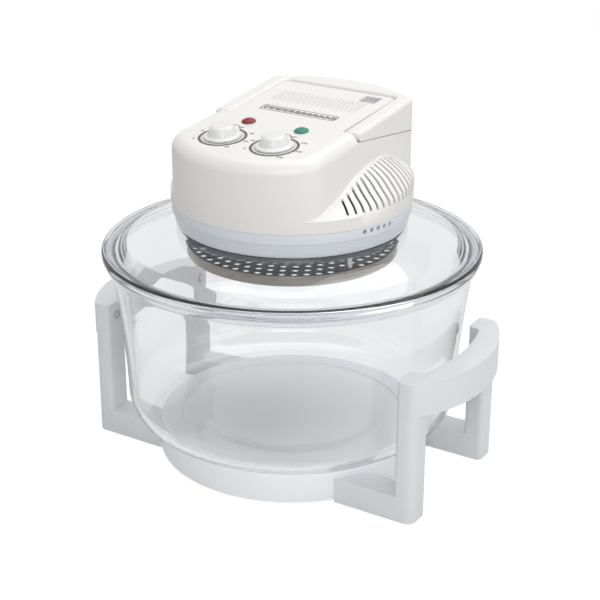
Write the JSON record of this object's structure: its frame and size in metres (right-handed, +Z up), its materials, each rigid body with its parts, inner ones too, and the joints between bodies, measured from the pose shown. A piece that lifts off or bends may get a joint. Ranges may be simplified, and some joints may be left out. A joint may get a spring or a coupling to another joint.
{
  "type": "countertop convection oven",
  "caption": "Countertop convection oven: round glass bowl on a stand with side handles, glass lid carrying a white control head with heater, fan, dials and a folding carry handle",
  "frame": {"origin": "centre of the overall outline at floor level, under the middle of the glass bowl", "axes": "+Z up; +X to the right through the right side handle, seen from the controls; the controls face -Y"},
  "size_m": [0.381, 0.334, 0.3222],
  "materials": {
    "warm_white": "warm white moulded plastic, glossy",
    "cool_grey": "pale cool grey moulded plastic, satin",
    "skirt_blue": "pale blue-grey moulded plastic",
    "clear_glass": "clear heat-resistant glass, polished",
    "silicone": "grey silicone seal",
    "black_rubber": "black rubber",
    "bright_steel": "plain bright steel",
    "dark_enamel": "dark enamelled steel",
    "reflector": "bright reflector sheet",
    "quartz": "milky quartz tube",
    "ceramic": "unglazed ceramic, off-white",
    "dark_plastic": "dark moulded plastic",
    "red_lens": "translucent red lens",
    "green_lens": "translucent green lens"
  },
  "bodies": {
    "stand": {"base_platform": "cool_grey", "side_frame_left": "cool_grey", "side_frame_right": "cool_grey", "stand_screw_1": "bright_steel", "stand_screw_2": "bright_steel", "stand_screw_3": "bright_steel", "stand_screw_4": "bright_steel", "handle_screw_1": "bright_steel", "handle_screw_2": "bright_steel", "handle_screw_3": "bright_steel", "handle_screw_4": "bright_steel", "foot_pad_1": "black_rubber", "foot_pad_2": "black_rubber", "foot_pad_3": "black_rubber", "foot_pad_4": "black_rubber"},
    "bowl": {"glass_bowl": "clear_glass"},
    "lid_head": {"glass_lid": "clear_glass", "lid_gasket": "silicone", "head_skirt": "skirt_blue", "head_housing": "warm_white", "housing_screw_1": "bright_steel", "housing_screw_2": "bright_steel", "housing_screw_3": "bright_steel", "housing_screw_4": "bright_steel", "timer_unit": "dark_plastic", "thermostat_unit": "reflector", "power_lamp": "red_lens", "heat_lamp": "green_lens", "safety_switch": "dark_plastic", "cord_bushing": "dark_plastic", "reflector_pan": "reflector", "guard_grille": "dark_enamel", "standoff_1": "bright_steel", "standoff_2": "bright_steel", "standoff_3": "bright_steel", "guard_nut_1": "bright_steel", "guard_nut_2": "bright_steel", "guard_nut_3": "bright_steel", "heater_tube": "quartz", "heater_socket_left": "ceramic", "heater_socket_right": "ceramic", "fan_motor": "dark_enamel", "motor_bracket": "bright_steel"},
    "carry_handle": {"carry_handle": "warm_white", "handle_pin_left": "bright_steel", "handle_pin_right": "bright_steel"},
    "timer_knob": {"timer_knob": "warm_white", "timer_spindle": "bright_steel"},
    "thermostat_knob": {"thermostat_knob": "warm_white", "thermostat_spindle": "bright_steel"},
    "fan": {"motor_shaft": "bright_steel", "convection_fan": "bright_steel", "cooling_fan": "dark_plastic"},
    "switch_cap": {"switch_cap": "cool_grey"}
  },
  "joints": [
    {"name": "bowl_lift", "type": "slide", "parent": "stand", "child": "bowl", "axis": [0, 0, 1], "range_m": [0, 0.13]},
    {"name": "lid_lift", "type": "slide", "parent": "bowl", "child": "lid_head", "axis": [0, 0, 1], "range_m": [0, 0.2]},
    {"name": "carry_handle_fold", "type": "hinge", "parent": "lid_head", "child": "carry_handle", "pos_m": [-0.00028, -0.00699, 0.30482], "axis": [0.9992, -0.04, 0], "range_deg": [0, 90]},
    {"name": "timer_turn", "type": "hinge", "parent": "lid_head", "child": "timer_knob", "pos_m": [-0.02877, -0.0625, 0.30228], "axis": [0.0045, 0.1112, -0.9938], "range_deg": [0, 300]},
    {"name": "thermostat_turn", "type": "hinge", "parent": "lid_head", "child": "thermostat_knob", "pos_m": [0.02369, -0.0646, 0.30228], "axis": [0.0045, 0.1112, -0.9938], "range_deg": [0, 270]},
    {"name": "fan_spin", "type": "hinge", "parent": "lid_head", "child": "fan", "pos_m": [0, 0, 0.2055], "axis": [0, 0, 1], "continuous": true},
    {"name": "switch_press", "type": "slide", "parent": "lid_head", "child": "switch_cap", "axis": [-0.0045, -0.1112, 0.9938], "range_m": [0, 0.002]}
  ],
  "couplings": [
    {"joint": "switch_press", "follows": "carry_handle_fold", "m_per_rad": 0.001272}
  ]
}
